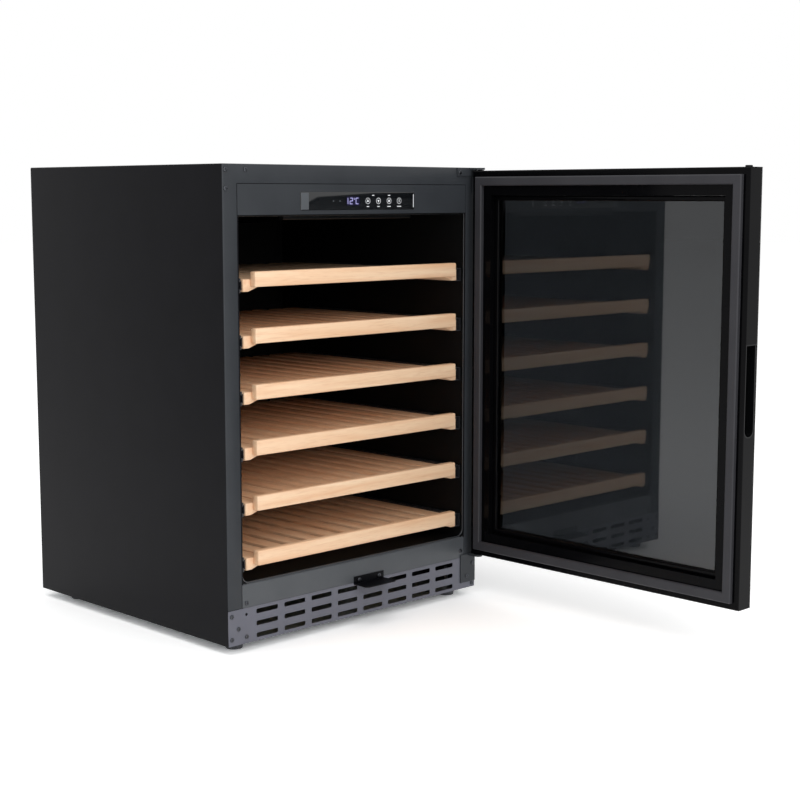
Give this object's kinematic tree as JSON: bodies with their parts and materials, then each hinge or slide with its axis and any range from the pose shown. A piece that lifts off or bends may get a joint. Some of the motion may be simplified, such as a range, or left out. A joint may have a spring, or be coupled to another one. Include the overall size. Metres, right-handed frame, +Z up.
{
  "type": "wine cooler",
  "caption": "Under-counter wine cooler: black insulated cabinet with a hinged glass door, pull-out beech shelves on slides, a touch control fascia and a slotted toe grille.",
  "frame": {"origin": "floor level, below the centre of the cabinet's footprint", "axes": "+Z up, +X to the hinge side as seen from the front, -Y out of the front"},
  "size_m": [0.6142, 1.167, 0.805],
  "materials": {
    "cabinet_steel": "satin",
    "zinc_steel": "satin",
    "frame_steel": "satin",
    "liner_plastic": "satin",
    "insulation_foam": "matte",
    "control_gloss": "gloss",
    "circuit_board": "satin",
    "light_diffuser": "satin",
    "slide_steel": "satin",
    "fin_aluminium": "satin",
    "fan_plastic": "satin",
    "compressor_steel": "gloss",
    "black_rubber": "matte",
    "copper": "satin",
    "foot_plastic": "matte",
    "door_plastic": "satin",
    "smoked_glass": "polished",
    "beech": "satin"
  },
  "bodies": {
    "cabinet": {"left_side_panel": "cabinet_steel", "right_side_panel": "cabinet_steel", "top_panel": "cabinet_steel", "back_panel": "zinc_steel", "base_pan": "zinc_steel", "foot_nuts": "zinc_steel", "front_frame": "frame_steel", "front_sill": "frame_steel", "toe_grille": "frame_steel", "catch_plate": "frame_steel", "inner_liner": "liner_plastic", "insulation": "insulation_foam", "air_divider": "zinc_steel", "control_fascia": "liner_plastic", "control_window": "control_gloss", "control_board": "circuit_board", "light_strip": "light_diffuser", "slide_channels": "slide_steel", "air_duct_cover": "liner_plastic", "evaporator": "fin_aluminium", "circulation_fan_frame": "fan_plastic", "condenser_fan_frame": "fan_plastic", "condenser": "fin_aluminium", "compressor": "compressor_steel", "compressor_grommets": "black_rubber", "drip_tray": "fan_plastic", "discharge_pipe": "copper", "filter_drier": "copper", "rear_cover": "zinc_steel", "cable_gland": "fan_plastic", "upper_hinge": "frame_steel", "lower_hinge": "frame_steel"},
    "door": {"door_frame": "door_plastic", "door_handle_stile": "door_plastic", "grip_insert": "door_plastic", "outer_glass": "smoked_glass", "inner_glass": "smoked_glass", "glass_spacer": "fin_aluminium", "door_gasket": "black_rubber", "hole_plugs": "door_plastic", "hinge_bushes": "door_plastic"},
    "shelf_1": {"shelf_1": "beech", "shelf_1_runners": "slide_steel"},
    "shelf_2": {"shelf_2": "beech", "shelf_2_runners": "slide_steel"},
    "shelf_3": {"shelf_3": "beech", "shelf_3_runners": "slide_steel"},
    "shelf_4": {"shelf_4": "beech", "shelf_4_runners": "slide_steel"},
    "shelf_5": {"shelf_5": "beech", "shelf_5_runners": "slide_steel"},
    "shelf_6": {"shelf_6": "beech", "shelf_6_runners": "slide_steel"},
    "front_left_foot": {"front_left_foot": "foot_plastic"},
    "front_right_foot": {"front_right_foot": "foot_plastic"},
    "rear_left_foot": {"rear_left_foot": "foot_plastic"},
    "rear_right_foot": {"rear_right_foot": "foot_plastic"},
    "circulation_fan": {"circulation_fan_rotor": "fan_plastic"},
    "condenser_fan": {"condenser_fan_rotor": "fan_plastic"}
  },
  "joints": [
    {"name": "door_hinge", "type": "hinge", "parent": "cabinet", "child": "door", "pos_m": [0.2875, -0.3005, 0.44], "axis": [0, 0, 1], "range_deg": [-90, 25]},
    {"name": "shelf_1_slide", "type": "slide", "parent": "cabinet", "child": "shelf_1", "axis": [0, -1, 0], "range_m": [0, 0.29]},
    {"name": "shelf_2_slide", "type": "slide", "parent": "cabinet", "child": "shelf_2", "axis": [0, -1, 0], "range_m": [0, 0.29]},
    {"name": "shelf_3_slide", "type": "slide", "parent": "cabinet", "child": "shelf_3", "axis": [0, -1, 0], "range_m": [0, 0.29]},
    {"name": "shelf_4_slide", "type": "slide", "parent": "cabinet", "child": "shelf_4", "axis": [0, -1, 0], "range_m": [0, 0.29]},
    {"name": "shelf_5_slide", "type": "slide", "parent": "cabinet", "child": "shelf_5", "axis": [0, -1, 0], "range_m": [0, 0.29]},
    {"name": "shelf_6_slide", "type": "slide", "parent": "cabinet", "child": "shelf_6", "axis": [0, -1, 0], "range_m": [0, 0.2]},
    {"name": "front_left_foot_screw", "type": "slide", "parent": "cabinet", "child": "front_left_foot", "axis": [0, 0, -1], "range_m": [0, 0.022]},
    {"name": "front_right_foot_screw", "type": "slide", "parent": "cabinet", "child": "front_right_foot", "axis": [0, 0, -1], "range_m": [0, 0.022]},
    {"name": "rear_left_foot_screw", "type": "slide", "parent": "cabinet", "child": "rear_left_foot", "axis": [0, 0, -1], "range_m": [0, 0.022]},
    {"name": "rear_right_foot_screw", "type": "slide", "parent": "cabinet", "child": "rear_right_foot", "axis": [0, 0, -1], "range_m": [0, 0.022]},
    {"name": "circulation_fan_spin", "type": "hinge", "parent": "cabinet", "child": "circulation_fan", "pos_m": [0, 0.2, 0.57], "axis": [0, -1, 0], "continuous": true},
    {"name": "condenser_fan_spin", "type": "hinge", "parent": "cabinet", "child": "condenser_fan", "pos_m": [-0.02, 0.1905, 0.0765], "axis": [1, 0, 0], "continuous": true}
  ]
}
